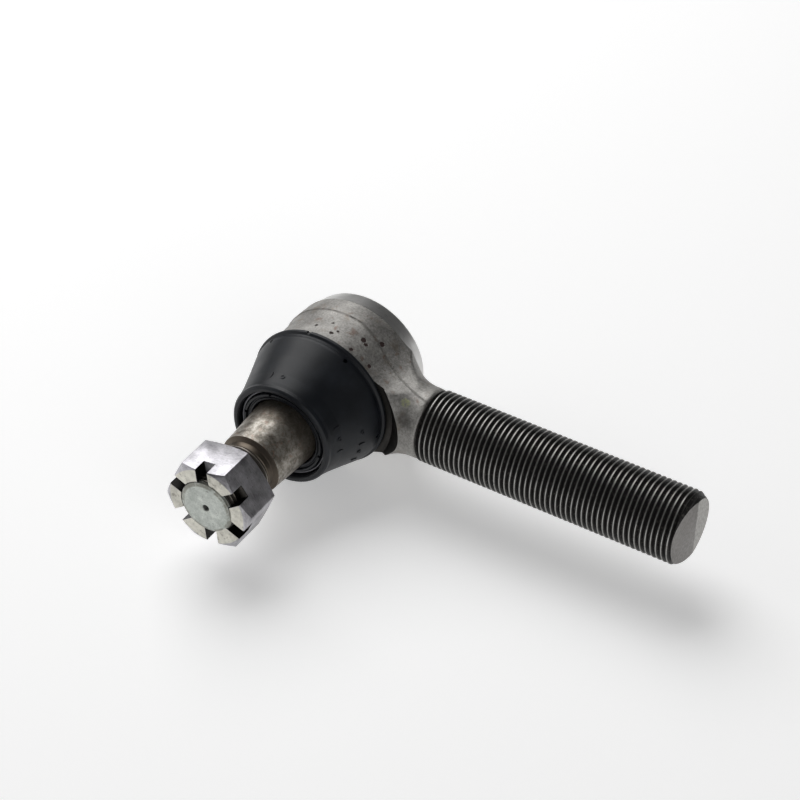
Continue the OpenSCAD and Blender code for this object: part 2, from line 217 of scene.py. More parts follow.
def combine(piece, tool, operation):
    """Join, cut or trim a piece with another, and remove that one."""
    before = len(piece.data.vertices)
    apply_modifier(piece, "BOOLEAN", object=tool, operation=operation, solver="MANIFOLD")
    if len(piece.data.vertices) == before:
        raise RuntimeError(f"{tool.name} made no change to {piece.name}")
    drop(tool)


def draw(name, points):
    """Draw a chain of edges through the points by extruding one vertex."""
    clear_selection()
    bpy.ops.mesh.primitive_plane_add(size=MM, location=(0, 0, 0))
    piece = bpy.context.object
    piece.name = name
    bpy.ops.object.mode_set(mode="EDIT")
    bpy.ops.mesh.select_mode(type="VERT")
    bpy.ops.mesh.merge(type="CENTER")
    bpy.ops.transform.translate(value=points[0])
    for here, there in zip(points, points[1:]):
        bpy.ops.mesh.extrude_region_move(TRANSFORM_OT_translate={"value": there - here})
    return piece


def on_stud(radius, along):
    return Vector((radius, -along, 0)) * MM


def on_shank(radius, along):
    return Vector((along, radius, 0)) * MM


def soften(corners, steps=4):
    """Round each corner that carries a third number, its radius. All in millimetres."""
    out = []
    last = len(corners) - 1
    for i, corner in enumerate(corners):
        here = Vector(corner[:2])
        if len(corner) == 2 or i in (0, last):
            out.append(here)
            continue
        back = Vector(corners[i - 1][:2]) - here
        ahead = Vector(corners[i + 1][:2]) - here
        half = back.angle(ahead) / 2
        reach = min(corner[2] / math.tan(half), back.length * 0.49, ahead.length * 0.49)
        start = here + back.normalized() * reach
        end = here + ahead.normalized() * reach
        for k in range(steps + 1):
            t = k / steps
            out.append(start * (1 - t) ** 2 + here * 2 * t * (1 - t) + end * t * t)
    return out


def turn(name, corners, place=on_stud, axis=STUD_AXIS, segments=128, closed=False):
    """Turn an outline of (radius, along[, corner radius]) in millimetres about an axis."""
    points = [place(*p) for p in soften(corners)]
    if closed:
        points.append(points[0])
    piece = draw(name, points)
    bpy.ops.mesh.select_all(action="SELECT")
    bpy.ops.mesh.spin(steps=segments, angle=math.tau, center=(0, 0, 0), axis=axis)
    done()
    clean(piece)
    return piece


def thread_corners(radius, pitch, grow=0.0):
    """One tooth of a 60 degree thread from root to root, as (radius, along) in millimetres."""
    depth = 0.613 * pitch
    flank = depth * math.tan(math.radians(30))
    crest = pitch / 8
    root = (pitch - crest - 2 * flank) / 2
    r, low = radius + grow, radius - depth + grow
    soft = 0.05 * pitch
    return [
        (low, 0), (low, root), (r - soft, root + flank - soft * 0.6),
        (r, root + flank + soft * 0.3), (r, root + flank + crest - soft * 0.3),
        (r - soft, root + flank + crest + soft * 0.6), (low, pitch - root), (low, pitch),
    ]


def rolled_thread(name, radius, pitch, start, turns, place, axis, grow=0.0, segments=72):
    """A rod with a helical thread, longer than needed and closed at both ends."""
    corners = [(r, start + a) for r, a in thread_corners(radius, pitch, grow)]
    piece = draw(name, [place(*c) for c in corners])
    done()
    # The rod is turned on local axes, so the screw runs along X or Y
    letter = "X" if abs(axis.x) > 0.5 else "Y"
    way = 1 if letter == "X" else -1
    apply_modifier(
        piece, "SCREW", axis=letter, steps=segments, render_steps=segments,
        iterations=turns, screw_offset=way * pitch * MM, angle=math.tau,
        use_merge_vertices=True, merge_threshold=1e-6, use_normal_calculate=True)
    edit(piece)
    bpy.ops.mesh.select_all(action="SELECT")
    bpy.ops.mesh.remove_doubles(threshold=4e-6)
    done()
    middle = (start + pitch * (turns + 1) / 2) * MM
    for near in (True, False):
        # The open ends each collapse to one point on the axis
        edit(piece, "EDGE")
        bpy.ops.mesh.select_non_manifold(extend=False, use_wire=False, use_boundary=True,
                                         use_multi_face=False, use_non_contiguous=False,
                                         use_verts=False)
        done()
        for edge in piece.data.edges:
            if edge.select:
                a, b = (piece.data.vertices[v].co for v in edge.vertices)
                along = ((a + b) / 2).dot(axis)
                edge.select = (along < middle) == near
        bpy.ops.object.mode_set(mode="EDIT")
        bpy.ops.mesh.extrude_region_move(TRANSFORM_OT_translate={"value": (0, 0, 0)})
        bpy.ops.mesh.merge(type="CENTER")
        done()
    clean(piece)
    return piece


# ---------------------------------------------------------------- node helpers

def new_material(name):
    """A material, its nodes, its shader, and the place on the piece to draw patterns from."""
    material = bpy.data.materials.new(name)
    material.use_nodes = True
    tree = material.node_tree
    return material, tree, tree.nodes["Principled BSDF"], add(tree, "TexCoord").outputs["Object"]


def add(tree, kind, settings=None, **inputs):
    """Add a node, set its properties, and set or link its inputs by name or by number."""
    made = tree.nodes.new("ShaderNode" + kind)
    for key, value in (settings or {}).items():
        setattr(made, key, value)
    for key, value in inputs.items():
        socket = made.inputs[int(key[1:])] if key[0] == "i" and key[1:].isdigit() \
            else made.inputs[key.replace("_", " ")]
        if isinstance(value, bpy.types.NodeSocket):
            tree.links.new(value, socket)
        else:
            socket.default_value = value
    return made


def noise(tree, at, scale, detail=4.0, rough=0.55, twist=0.0):
    return add(tree, "TexNoise", Vector=at, Scale=scale, Detail=detail,
               Roughness=rough, Distortion=twist).outputs["Fac"]


def maths(tree, operation, a, b=0.0):
    return add(tree, "Math", {"operation": operation}, i0=a, i1=b).outputs[0]


def times(tree, a, b):
    return maths(tree, "MULTIPLY", a, b)


def weighted(tree, *pairs):
    """The sum of some values, each times its weight."""
    total = None
    for value, weight in pairs:
        part = value if weight == 1 else times(tree, value, weight)
        total = part if total is None else maths(tree, "ADD", total, part)
    return total


def spread(tree, value, low, high, to_low=0.0, to_high=1.0, smooth=True):
    kind = "SMOOTHSTEP" if smooth else "LINEAR"
    return add(tree, "MapRange", {"interpolation_type": kind}, Value=value, From_Min=low,
               From_Max=high, To_Min=to_low, To_Max=to_high).outputs[0]


def blend_colour(tree, factor, a, b, kind="MIX"):
    mixer = tree.nodes.new("ShaderNodeMix")
    mixer.data_type = "RGBA"
    mixer.blend_type = kind
    for socket, value in ((mixer.inputs[0], factor), (mixer.inputs[6], a), (mixer.inputs[7], b)):
        if isinstance(value, bpy.types.NodeSocket):
            tree.links.new(value, socket)
        else:
            socket.default_value = value if not hasattr(value, "__len__") else (*value[:3], 1)
    return mixer.outputs[2]


def tint(tree, colour, mask, share, other):
    """Lay another colour over this one where the mask says, at most by the share."""
    return blend_colour(tree, times(tree, mask, share), colour, other)


def shades(colour, *stops):
    """Stops of a ramp that hold one colour, each made darker or lighter by a factor."""
    return [(where, tuple(min(1.0, c * factor) for c in colour)) for where, factor in stops]


def ramp(tree, value, stops):
    made = add(tree, "ValToRGB", Fac=value)
    line = made.color_ramp
    while len(line.elements) < len(stops):
        line.elements.new(0.5)
    for element, (where, colour) in zip(line.elements, stops):
        element.position = where
        element.color = (*colour, 1) if hasattr(colour, "__len__") else (colour,) * 3 + (1,)
    return made.outputs["Color"]


def bump(tree, height, depth, strength):
    return add(tree, "Bump", Height=height, Distance=depth, Strength=strength).outputs["Normal"]


def parts_of(tree, at):
    split = add(tree, "SeparateXYZ", Vector=at)
    return split.outputs[0], split.outputs[1], split.outputs[2]


def radius_about(tree, at, axis):
    """Distance from the stud's axis (Y) or the shank's axis (X)."""
    x, y, z = parts_of(tree, at)
    side = x if axis == "Y" else y
    squared = maths(tree, "ADD", times(tree, side, side), times(tree, z, z))
    return maths(tree, "SQRT", squared)


def turning_marks(tree, value, scale):
    """Fine lines left by a tool, which change only with one measure."""
    line = add(tree, "CombineXYZ", X=value).outputs[0]
    return noise(tree, line, scale, detail=3.0, rough=0.7)


def join(tree, shader, **links):
    for key, value in links.items():
        socket = shader.inputs[key.replace("_", " ")]
        if isinstance(value, bpy.types.NodeSocket):
            tree.links.new(value, socket)
        else:
            socket.default_value = value if not (hasattr(value, "__len__") and len(value) == 3) \
                else (*value, 1)


# ---------------------------------------------------------------- finishes

# The trim line of the forging: how far forward of the ball centre it lies, by place along X
TRIM_LINE = [(-30, -9.0), (8, -8.8), (15.4, -7.3), (20, -5.3), (29.6, -1.1), (34.8, 0.9), (38, 2.3),
             (43, 3.6)]

# Rust pits beside the boot: place and radius in millimetres
PITS = [
    (1.7, -3.2, 27.4, 0.91), (3.2, -1.0, 27.3, 0.72), (12.2, 2.6, 24.6, 1.3), (13.9, 1.7, 23.7, 0.98),
    (17.2, 7.4, 21.5, 1.23), (22.6, 11.9, 16.4, 1.17), (19.1, -4.3, 19.8, 1.1),
    (11.4, -5.0, 25.0, 1.04), (17.6, 12.4, 21.4, 0.65), (-6.0, -1.5, 26.9, 0.78),
]


def trim_height(x):
    for (x0, a0), (x1, a1) in zip(TRIM_LINE, TRIM_LINE[1:]):
        if x <= x1:
            return a0 + (a1 - a0) * max(0.0, (x - x0) / (x1 - x0))
    return TRIM_LINE[-1][1]


def forging_finish(colours):
    """Shot blasted forging with rust pits, stains, the thin shadow of the trim line and a blotch of
    painted shade on the neck.
    """
    material, tree, shader, at = new_material("Forged steel")
    x, y, _ = parts_of(tree, at)
    grain = noise(tree, at, 1150, detail=4, rough=0.75)
    colour = ramp(tree, weighted(tree, (noise(tree, at, 110, detail=5), 0.40), (grain, 0.60)),
                  shades(colours.forging, (0.33, 0.55), (0.48, 1.0), (0.64, 1.7)))
    stain = spread(tree, noise(tree, at, 170, detail=4), 0.56, 0.74, 0.0, 0.45)
    colour = blend_colour(tree, stain, colour, (0.21, 0.165, 0.12))
    green = times(tree, round_spot(tree, at, (37.0, -7.6, 12.8), 2.2, 0.8),
                  spread(tree, grain, 0.40, 0.60))
    colour = tint(tree, colour, green, 0.6, (0.33, 0.36, 0.14))
    # Painted shade: a dark blotch where the neck curves away between the spot face and the thread's
    # start
    painted_shade_blotch = round_spot(tree, at, (38.6, -11.8, 8.2), 4.8, 4.0)
    colour = tint(tree, colour, painted_shade_blotch, 0.5, (0.03, 0.029, 0.027))
    line = trim_shadow(tree, x, y, grain)
    colour = tint(tree, colour, line, 0.5, (0.06, 0.055, 0.05))
    # The wobble breaks up the pits' outlines, and moves each by half of it, in millimetres
    wobble = 1.1
    loose = blend_colour(tree, wobble * MM, at, add(
        tree, "TexNoise", Vector=at, Scale=900, Detail=2).outputs["Color"], "ADD")
    near = times(tree, spread(tree, y, -0.009, -0.005), spread(tree, y, 0.016, 0.012))
    pits = times(tree, rust_pits(tree, loose, 260, 0.78, 0.08, 0.22), near)
    for *place, radius in PITS:
        moved = tuple(v + wobble / 2 for v in place)
        pits = maths(tree, "MAXIMUM", pits, round_spot(tree, loose, moved, radius, 0.35))
    halo = spread(tree, noise(tree, at, 320, detail=3), 0.60, 0.72, 0.0, 0.5)
    colour = blend_colour(tree, times(tree, halo, near), colour, (0.16, 0.075, 0.045))
    colour = blend_colour(tree, pits, colour, tuple(colours.pits))
    rough = spread(tree, grain, 0.3, 0.7, 0.44, 0.64)
    height = maths(tree, "SUBTRACT",
                   weighted(tree, (grain, 0.9), (noise(tree, at, 420, 3), 0.8)),
                   weighted(tree, (pits, 1.5), (line, 1)))
    join(tree, shader, Base_Color=colour, Roughness=weighted(tree, (rough, 1), (pits, 0.25)),
         Metallic=maths(tree, "SUBTRACT", 0.85, times(tree, pits, 0.8)),
         Normal=bump(tree, height, 0.00013, 0.8))
    return material


def round_spot(tree, at, centre, radius, edge):
    """One round spot, 1 inside and 0 outside. Centre, radius and soft edge in millimetres."""
    away = add(tree, "VectorMath", {"operation": "DISTANCE"}, i0=at,
               i1=tuple(c * MM for c in centre)).outputs["Value"]
    return spread(tree, away, radius * MM, max(0.0, radius - edge) * MM)


def rust_pits(tree, at, scale, chance, small, large):
    """Scattered pits of mixed size: one cell in a few holds one."""
    cells = add(tree, "TexVoronoi", {"feature": "F1"}, Vector=at, Scale=scale, Randomness=1.0)
    pick_one, size, _ = parts_of(tree, cells.outputs["Color"])
    reach = maths(tree, "ADD", times(tree, size, large - small), small)
    share = maths(tree, "DIVIDE", cells.outputs["Distance"], reach)
    return times(tree, spread(tree, share, 1.0, 0.6),
                 spread(tree, pick_one, chance, chance + 0.01))


def trim_shadow(tree, x, y, grain):
    """The dark line along the trim line: a height for each X, and how near Y comes to it."""
    first, last = TRIM_LINE[0][0], TRIM_LINE[-1][0]
    share = spread(tree, x, first * MM, last * MM, smooth=False)
    height = ramp(tree, share, [((a - first) / (last - first), (h + 10) / 20)
                                for a, h in TRIM_LINE])
    along = times(tree, maths(tree, "SUBTRACT", height, 0.5), 20 * MM)
    off = maths(tree, "ABSOLUTE", maths(tree, "ADD", maths(tree, "ADD", y, along), 0.0002))
    return times(tree, spread(tree, off, 0.00085, 0.00015),
                 spread(tree, grain, 0.30, 0.55, 0.45, 1.0))


def turned_finish(name, light, dark, axis, across, rough, lines, depth):
    """Turned steel: fine tool lines that follow one measure, with a faint stain."""
    material, tree, shader, at = new_material(name)
    if across:
        measure = radius_about(tree, at, axis)
    else:
        measure = parts_of(tree, at)[1 if axis == "Y" else 0]
    fine = turning_marks(tree, measure, lines)
    broad = turning_marks(tree, measure, lines * 0.22)
    mixed = weighted(tree, (fine, 0.3), (broad, 0.3), (noise(tree, at, 130, detail=4), 0.4))
    join(tree, shader, Base_Color=ramp(tree, mixed, [(0.32, dark), (0.62, light)]),
         Metallic=0.95, Roughness=spread(tree, mixed, 0.3, 0.7, rough + 0.12, rough - 0.06),
         Normal=bump(tree, maths(tree, "ADD", fine, broad), depth, 0.6))
    return material


def thread_finish(name, axis, root, crest, dark, bright):
    """Rolled thread: bright worn crests over roots painted dark as shade in the grooves."""
    material, tree, shader, at = new_material(name)
    cloud = noise(tree, at, 240, detail=4)
    uneven = times(tree, maths(tree, "SUBTRACT", cloud, 0.5), 0.00035)
    level = spread(tree, maths(tree, "ADD", radius_about(tree, at, axis), uneven),
                   root + (crest - root) * 0.70, crest - 0.00003)
    nicks = spread(tree, noise(tree, at, 900, detail=2), 0.56, 0.70)
    # The dark root colour is painted shade in the grooves; the bright crest colour is worn steel
    colour = blend_colour(tree, level, dark, bright)
    colour = tint(tree, colour, nicks, 0.5, (0.12, 0.11, 0.10))
    join(tree, shader, Base_Color=colour,
         Metallic=spread(tree, level, 0, 1, 0.45, 1.0),
         Roughness=spread(tree, level, 0, 1, 0.50, 0.33),
         Normal=bump(tree, cloud, 0.00008, 0.5))
    return material


def cut_face_finish():
    """The shank's end face: a pale cropped half and a slanted half painted darker as shade."""
    material, tree, shader, at = new_material("Sheared steel")
    ragged = times(tree, maths(tree, "SUBTRACT", noise(tree, at, 400, 3), 0.5), 0.0012)
    half = spread(tree, maths(tree, "ADD", parts_of(tree, at)[1], ragged), 0.0014, 0.0020)
    grain = noise(tree, at, 900, detail=4, rough=0.7)
    # Painted shade: the slanted half, on the -Y side, is given the darker tone
    tone = blend_colour(tree, half, (0.26, 0.25, 0.24), (0.46, 0.45, 0.43))
    colour = blend_colour(tree, spread(tree, grain, 0.35, 0.7, 0, 0.45), tone, (0.20, 0.19, 0.18))
    join(tree, shader, Base_Color=colour, Metallic=0.75,
         Roughness=spread(tree, grain, 0.3, 0.7, 0.45, 0.65),
         Normal=bump(tree, grain, 0.00015, 0.6))
    return material


def taper_finish():
    """The stud's taper: warm grey steel, mottled, with a bloom of rust and a painted shadow of the
    boot towards the large end.
    """
    material, tree, shader, at = new_material("Taper steel")
    y = parts_of(tree, at)[1]
    mottle = noise(tree, at, 430, detail=7, rough=0.72, twist=0.3)
    rust = spread(tree, noise(tree, at, 480, detail=5, rough=0.7), 0.56, 0.66)
    # Painted shadow: the taper darkens towards the boot
    painted_boot_shadow = spread(tree, y, -0.047, -0.038)
    colour = ramp(tree, weighted(tree, (mottle, 0.7), (noise(tree, at, 130, detail=4), 0.3)),
                  [(0.36, (0.085, 0.074, 0.060)), (0.48, (0.25, 0.228, 0.195)),
                   (0.62, (0.50, 0.475, 0.43))])
    colour = tint(tree, colour, rust, 0.45, (0.30, 0.16, 0.115))
    colour = tint(tree, colour, painted_boot_shadow, 0.7, (0.075, 0.06, 0.045))
    height = weighted(tree, (mottle, 1.4), (turning_marks(tree, y, 2200), 1))
    join(tree, shader, Base_Color=colour, Metallic=0.72,
         Roughness=spread(tree, mottle, 0.3, 0.7, 0.50, 0.34),
         Normal=bump(tree, height, 0.00006, 0.7))
    return material


def end_face_finish():
    """The stud's end: pale, slightly green, with a dirty rim, and painted shade darkening the centre
    dimple and the outer ring by the nut.
    """
    material, tree, shader, at = new_material("Stud end")
    radius = radius_about(tree, at, "Y")
    mixed = weighted(tree, (noise(tree, at, 260, detail=5, rough=0.65), 0.6),
                     (noise(tree, at, 1500, detail=4, rough=0.7), 0.4))
    colour = ramp(tree, mixed, [(0.34, (0.36, 0.385, 0.355)), (0.50, (0.50, 0.53, 0.495)),
                                (0.64, (0.66, 0.69, 0.64))])
    fleck = spread(tree, noise(tree, at, 700, detail=3), 0.66, 0.72)
    rim = times(tree, spread(tree, radius, 0.0089, 0.0096),
                spread(tree, noise(tree, at, 380, detail=4), 0.36, 0.56))
    # Painted shade: the centre dimple and the outer ring where the stud meets the nut are coloured
    # near black
    dark = maths(tree, "MAXIMUM", spread(tree, radius, 0.0016, 0.0011),
                 spread(tree, radius, 0.0105, 0.0109))
    for mask, share, other in ((fleck, 0.7, (0.13, 0.12, 0.10)), (rim, 0.75, (0.20, 0.19, 0.155)),
                               (dark, 0.93, (0.012, 0.011, 0.01))):
        colour = tint(tree, colour, mask, share, other)
    join(tree, shader, Base_Color=colour, Metallic=0.55,
         Roughness=spread(tree, mixed, 0.3, 0.7, 0.52, 0.40),
         Normal=bump(tree, mixed, 0.00010, 0.6))
    return material


def plated_finish(name, colour, sheen_and_dirt=False):
    """Zinc plating, satin, with handling scuffs and worn high spots; the front faces can also take a
    painted cream highlight and dirt.
    """
    material, tree, shader, at = new_material(name)
    cloud = noise(tree, at, 150, detail=5, rough=0.6)
    scuff = noise(tree, add(tree, "Mapping", Vector=at, Scale=(1.0, 5.0, 1.0)).outputs[0],
                  520, detail=5, rough=0.75)
    tone = ramp(tree, weighted(tree, (cloud, 0.55), (scuff, 0.45)),
                shades(colour, (0.36, 0.5), (0.50, 1.0), (0.65, 1.5)))
    specks = spread(tree, noise(tree, at, 1100, detail=2), 0.66, 0.72)
    tone = tint(tree, tone, specks, 0.6, (0.14, 0.12, 0.10))
    # Painted highlight: the tone is lifted towards pale cream as light falls on the front faces, then
    # darkened in patches of dirt
    if sheen_and_dirt:
        dirt = spread(tree, noise(tree, at, 420, detail=4), 0.55, 0.68, 0.0, 0.6)
        tone = blend_colour(tree, 0.35, tone, (0.62, 0.60, 0.52))
        tone = blend_colour(tree, dirt, tone, (0.17, 0.16, 0.13))
    join(tree, shader, Base_Color=tone, Metallic=0.92,
         Roughness=spread(tree, scuff, 0.3, 0.7, 0.34, 0.50),
         Normal=bump(tree, scuff, 0.00005, 0.5))
    return material


def rubber_finish(colours):
    """Moulded rubber: satin charcoal with a faint bloom."""
    material, tree, shader, at = new_material("Boot rubber")
    cloud = noise(tree, at, 110, detail=5)
    fine = noise(tree, at, 2200, detail=3, rough=0.6)
    base = tuple(colours.rubber)
    bloom = spread(tree, cloud, 0.42, 0.72, 0.0, 0.6)
    join(tree, shader, Base_Color=blend_colour(tree, bloom, base, tuple(c * 2.2 for c in base)),
         Roughness=spread(tree, cloud, 0.3, 0.7, 0.40, 0.48), Specular_IOR_Level=0.34,
         Normal=bump(tree, weighted(tree, (fine, 1), (cloud, 1.2)), 0.00003, 0.5))
    return material


def plain_steel_finish(name, tone, rough):
    return turned_finish(name, tuple(min(1, c * 1.2) for c in tone),
                         tuple(c * 0.7 for c in tone), "Y", False, rough, 1800.0, 2e-5)


def acetal_finish():
    material, tree, shader, at = new_material("Acetal")
    cloud = noise(tree, at, 120, detail=3)
    join(tree, shader, Base_Color=ramp(tree, cloud, [(0.3, (0.74, 0.73, 0.66)),
                                                     (0.7, (0.86, 0.85, 0.79))]),
         Roughness=spread(tree, cloud, 0.3, 0.7, 0.32, 0.42),
         Normal=bump(tree, noise(tree, at, 1500, 2), 0.00002, 0.4))
    return material


def dress(piece, *materials):
    piece.data.materials.clear()
    for material in materials:
        piece.data.materials.append(material)


def finish_faces(piece, number, wanted):
    """Give the faces that pass the test the piece's numbered material."""
    for face in piece.data.polygons:
        if wanted(face.center, face.normal):
            face.material_index = number


# ---------------------------------------------------------------- the pieces

def forged_neck(sizes):
    """The neck and its fillets: a trumpet about the shank, trimmed by its own plan."""
    neck = sizes.neck_radius / MM
    start, plain, fillet, side = THREAD_START, 3.3, 18.0, 30.0
    flare = [(neck + fillet - math.sqrt(fillet ** 2 - (i * 1.7) ** 2), start - plain - i * 1.7)
             for i in range(11)]
    trumpet = turn("neck", [(0, start + 0.3), (neck - 0.8, start + 0.3), (neck, start - 0.5)]
                   + flare + [(flare[-1][0], 14.0), (0, 14.0)],
                   on_shank, SHANK_AXIS, 96)
    hub = sizes.barrel_radius / MM - 1.0
    centre_z = neck + 0.4 + side
    centre_x = math.sqrt((hub + side) ** 2 - centre_z ** 2)
    first = -math.pi + math.atan2(centre_z, centre_x)
    arc = [first + (-math.pi / 2 - first) * i / 10 for i in range(11)]
    flank = [(centre_x + side * math.cos(a), centre_z + side * math.sin(a)) for a in arc]
    outline = [(4, 4)] + flank + [(start + 2, flank[-1][1])]
    outline = outline + [(x, -z) for x, z in reversed(outline)]
    plan = draw("neck_plan", [Vector((x, 0.0168 / MM, z)) * MM for x, z in outline + outline[:1]])
    bpy.ops.mesh.select_all(action="SELECT")
    bpy.ops.mesh.remove_doubles(threshold=1e-6)
    bpy.ops.mesh.select_all(action="SELECT")
    bpy.ops.mesh.edge_face_add()
    bpy.ops.mesh.extrude_region_move(TRANSFORM_OT_translate={"value": (0, -0.040, 0)})
    done()
    clean(plan)
    combine(trumpet, plan, "INTERSECT")
    return trumpet


def mark_trim_line(piece):
    """Cut the trim line into the forged skin and raise it a little."""
    for (x0, a0), (x1, a1) in zip(TRIM_LINE, TRIM_LINE[1:]):
        select_faces(piece, lambda c, n: x0 * MM - 0.0009 < c.x < x1 * MM + 0.0009
                     and abs(c.y + trim_height(c.x / MM) * MM) < 0.0012)
        slope = Vector((x1 - x0, -(a1 - a0), 0)).normalized()
        bpy.ops.mesh.bisect(plane_co=(x0 * MM, -a0 * MM, 0),
                            plane_no=(-slope.y, slope.x, 0), use_fill=False)
        done()
    select_points(piece, lambda c: abs(c.y + trim_height(c.x / MM) * MM) < 2e-6)
    bpy.ops.transform.shrink_fatten(value=0.00016)
    done()


def machined_cutters(sizes):
    """The shapes that turning and milling take off the forging."""
    boss, spot = sizes.boss_radius / MM, sizes.spot_radius / MM
    front = turn("front_cut", [
        (0, 11.99), (boss, 11.99, 0.6), (boss, 7.99), (spot, 7.99, 0.8), (spot + 28, 35.99),
        (0, 35.99)], segments=160)
    rear = turn("rear_cut", [
        (0, -24.5), (25.75, -24.5, 0.4), (26.1, -23.6, 0.8), (27.6, -16.8), (60, -16.8),
        (60, -60), (0, -60)], segments=160)
    bore = turn("bore_cut", [
        (0, 30), (18.6, 30), (18.6, 11.6), (18.3, 11.2), (16.28, 8.99), (21.5, 8.99),
        (21.5, -21.4), (22.6, -21.4), (22.6, -23.7), (21.2, -24.52), (21.2, -30), (0, -30)],
        segments=128)
    return front, rear, bore


class TIEROD_OT_housing(bpy.types.Operator):
    """Forge the socket and neck, machine them, and roll the thread on the shank"""
    bl_idname = "tie_rod.add_housing"
    bl_label = "Housing"

    def execute(self, context):
        sizes = context.scene.tie_rod_forging
        colours = context.scene.tie_rod_colours
        barrel = sizes.barrel_radius / MM
        front = barrel - sizes.front_draft / MM
        body = turn("housing_forging", [
            (0, 16), (front - 0.6, 16), (front, 8), (front + 0.15, -7.2), (barrel - 0.1, -9.2),
            (27.75, -16.8), (27.2, -26), (0, -26)], segments=128)
        combine(body, forged_neck(sizes), "UNION")
        apply_modifier(body, "REMESH", mode="VOXEL", voxel_size=sizes.grain)
        apply_modifier(body, "SMOOTH", factor=0.5, iterations=14)
        mark_trim_line(body)
        for cutter in machined_cutters(sizes):
            combine(body, cutter, "DIFFERENCE")
        shank = self.shank(sizes)
        combine(body, shank, "UNION")
        shade(body, 30)
        dress(body, forging_finish(colours),
              turned_finish("Turned band", (0.66, 0.66, 0.65), (0.44, 0.43, 0.42), "Y", False,
                            0.30, 1500.0, 4e-5),
              # The spot face material is near black: the boot's shadow painted onto bright machined
              # steel
              turned_finish("Spot face", (0.085, 0.08, 0.074), (0.03, 0.028, 0.026), "Y", True,
                            0.40, 1500.0, 4e-5),
              thread_finish("Shank thread", "X", 0.01299, 0.01429,
                            (0.014, 0.013, 0.012), (0.40, 0.395, 0.38)),
              cut_face_finish())
        spot = sizes.spot_radius
        finish_faces(body, 1, lambda c, n: c.y > 0.0168 and c.x < 0.043)
        # Material 2 is painted shade: the spot face under the boot and the faces near or facing the
        # stud's axis are coloured near black
        finish_faces(body, 2, lambda c, n: c.y < -0.0079 and (
            (math.hypot(c.x, c.z) < spot + 0.0002 and n.y < -0.9) or math.hypot(c.x, c.z) < 0.0246
            or c.x * n.x + c.z * n.z < -0.4 * math.hypot(c.x, c.z) and c.x < 0.043))
        finish_faces(body, 3, lambda c, n: c.x > THREAD_START * MM)
        finish_faces(body, 4, lambda c, n: c.x > 0.149 and n.x > 0.9)
        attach(body, "housing")
        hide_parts("housing")
        return {"FINISHED"}

    def shank(self, sizes):
        radius, pitch = sizes.shank_radius / MM, sizes.shank_pitch / MM
        rod = rolled_thread("shank", radius, pitch, 36.38, 57, on_shank, SHANK_AXIS)
        skin = turn("shank_skin", [
            (0, 40.6), (12.8, 40.6), (12.85, 43.9), (radius + 0.01, 45.3, 0.3),
            (radius + 0.01, 149.3, 1.2), (12.35, SHANK_TIP, 0.35), (0, SHANK_TIP)],
            on_shank, SHANK_AXIS, 128)
        combine(rod, skin, "INTERSECT")
        # Half of the end face was sheared at a slant
        clear_selection()
        bpy.ops.mesh.primitive_cube_add(size=1)
        shear = bpy.context.object
        shear.matrix_world = (Matrix.Translation((SHANK_TIP * MM, 0.0017, 0))
                              @ Matrix.Rotation(math.radians(-9), 4, "Z")
                              @ Matrix.Diagonal((0.03, 0.06, 0.06, 1))
                              @ Matrix.Translation((0.5, -0.5, 0)))
        apply_place(shear)
        combine(rod, shear, "DIFFERENCE")
        return rod


